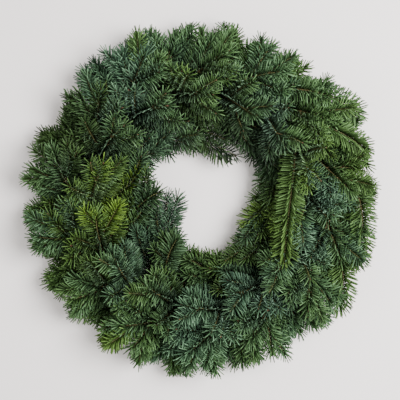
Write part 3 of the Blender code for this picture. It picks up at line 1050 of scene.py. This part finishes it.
def wrapCorners():
    rounds = [(np.zeros(2), wreath["ringWire"] / 2)]
    for row in rows.values():
        a = math.radians(row["seat"])
        rounds.append((seatRadius * np.array([math.cos(a), math.sin(a)]), wreath["stemRadius"]))
    gap = wreath["clearance"] + wreath["reelWire"] / 2
    corners = []
    for i in range(reelPiece["faces"]):
        looks = [math.radians(reelPiece["firstFace"] + 360.0 / reelPiece["faces"] * k)
                 for k in (i, i + 1)]
        normals = np.array([[math.cos(a), math.sin(a)] for a in looks])
        reach = [max(n @ middle + r for middle, r in rounds) + gap for n in normals]
        corners.append(np.linalg.solve(normals, reach))
    return corners


def reelPath():
    corners, faces = wrapCorners(), reelPiece["faces"]
    first, last = reelPiece["firstCorner"], faces * (wreath["turns"] + 1)
    points = []
    for station in range(wreath["stations"]):
        angle = stationAngle(station)
        for i in range(first, last + 1):
            x, y = corners[i % faces]
            along = wreath["turnPitch"] / faces * (i - (first + last) / 2)
            points.append(onRing(angle) + x * outward(angle) + y * up + along * clockwise(angle))
        if station < wreath["stations"] - 1:  # the run below the ring to the next station
            start, end = corners[last % faces], corners[first % faces]
            for share in (1 / 3, 2 / 3):
                between = angle - share * 360.0 / wreath["stations"]
                x, y = start + share * (end - start)
                points.append(onRing(between) + x * outward(between) + y * up)
    return points


def pathObject(name, points, closed):
    count = len(points)
    edges = [(i, (i + 1) % count) for i in range(count if closed else count - 1)]
    return newMeshObject(name, points, edges, [])


def fitPiece(piece, node):
    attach(piece, "root")
    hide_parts(node)


# making the pieces
mottle = makeMottle()
needleMaterial = makeNeedleMaterial(mottle)
twigMaterial = makeTwigMaterial(mottle)
ringMaterial = makeWireMaterial("ringWire", mottle, ringFinish)
reelMaterial = makeWireMaterial("reelWire", mottle, reelFinish)

shapeCollection = bpy.data.collections.new("needleShapes")
for number, (bend, sweep) in enumerate(zip(needle["bends"], needle["sweeps"])):
    shape = makeNeedle(f"needleShape{number}", bend, sweep)
    bpy.context.scene.collection.objects.unlink(shape)
    shapeCollection.objects.link(shape)
needleVerts = len(shape.data.vertices)
budShape = makeBuds("budShape")
bpy.context.scene.collection.objects.unlink(budShape)

needleTree, twigTree, wireTree = makeNeedleTree(), makeTwigTree(), makeWireTree()
print("materials, shapes and trees ready")

margin = Vector((0.0003, 0.0003, 0.0006))  # kept free inside the box of the solids
room = {"Low Corner": Vector(cadLow) + margin, "High Corner": Vector(cadHigh) - margin}

fillDraws = random.Random(filling["seed"])
needleCount = 0
for number, spray in enumerate(laySprays()):
    shoots = describeShoots(spray, fillDraws)
    sideLean = needle["sideLean"] + fillDraws.uniform(-1, 1) * needle["leanChange"]
    twigs = bakeTree(lineObject(spray["name"] + "_twigs", shoots), twigTree, {
        **room, "Bud": budShape, "Material": twigMaterial})
    needles = bakeTree(lineObject(spray["name"] + "_needles", shoots), needleTree, {
        **room, "Side Lean": math.radians(sideLean), "Seed": needle["seed"] + number,
        "Needle Shapes": shapeCollection, "Material": needleMaterial})
    needleCount += len(needles.data.vertices) // needleVerts
    fitPiece(twigs, spray["name"])
    fitPiece(needles, spray["name"])
print("sprays grown:", wreath["stations"] * len(rows), "with", needleCount, "needles")

ring = bakeTree(pathObject("ring_wire", ringPath(), True), wireTree, {
    "Radius": wreath["ringWire"] / 2, "Sides": ringPiece["sides"], "Bend Radius": 0.0,
    "Bend Steps": 1, "Material": ringMaterial})
reel = bakeTree(pathObject("reel_wire", reelPath(), False), wireTree, {"Material": reelMaterial})
fitPiece(ring, "ring_frame")
fitPiece(reel, "binding_wire")
print("wires bent")

for shape in list(shapeCollection.objects):
    bpy.data.objects.remove(shape)
bpy.data.collections.remove(shapeCollection)
bpy.data.objects.remove(budShape)

total = sum(len(polygon.vertices) - 2 for obj in bpy.data.objects
            if obj.type == "MESH" and not obj.hide_render for polygon in obj.data.polygons)
print("triangles shown:", total)

# floor, light and camera
stageLook = {
    "floor": (0.94, 0.890, 0.870),
    "floorRoughness": 0.8, "floorSize": 6.0,
    "world": (1.0, 0.985, 0.965), "worldStrength": 0.86,
    "keyPlace": (0.95, 0.15, 1.6), "keyPower": 84.0,
    "fillPlace": (-1.2, -0.6, 1.6), "fillPower": 5.0,
    "lightSize": 1.2,
}

half = stageLook["floorSize"] / 2
floor = newMeshObject("floor", [(-half, -half, 0), (half, -half, 0), (half, half, 0),
                                (-half, half, 0)], [], [(0, 1, 2, 3)])
floorMaterial, _, floorShader = newMaterial("paleFloor", stageLook["floorRoughness"])
floorShader.inputs["Base Color"].default_value = (*stageLook["floor"], 1.0)
floor.data.materials.append(floorMaterial)

world = bpy.data.worlds.new("studio")
bpy.context.scene.world = world
world.use_nodes = True
background = world.node_tree.nodes["Background"]
background.inputs["Color"].default_value = (*stageLook["world"], 1.0)
background.inputs["Strength"].default_value = stageLook["worldStrength"]


def softLight(name, place, power):
    light = bpy.data.lights.new(name, "AREA")
    light.shape = "DISK"
    light.size = stageLook["lightSize"]
    light.energy = power
    obj = bpy.data.objects.new(name, light)
    obj.location = place
    obj.rotation_mode = "QUATERNION"
    obj.rotation_quaternion = (-Vector(place)).to_track_quat("-Z", "Y")
    bpy.context.scene.collection.objects.link(obj)


softLight("keyLight", stageLook["keyPlace"], stageLook["keyPower"])
softLight("fillLight", stageLook["fillPlace"], stageLook["fillPower"])

view = {"lens": 85.0, "sensor": 36.0, "width": 0.640, "planeHeight": 0.030}
camera = bpy.data.cameras.new("camera")
camera.lens = view["lens"]
camera.sensor_width = view["sensor"]
cameraObject = bpy.data.objects.new("camera", camera)
centre = (Vector(cadLow) + Vector(cadHigh)) / 2
distance = view["width"] * view["lens"] / view["sensor"]
cameraObject.location = (centre.x, centre.y, view["planeHeight"] + distance)
bpy.context.scene.collection.objects.link(cameraObject)
bpy.context.scene.camera = cameraObject
print("stage set")
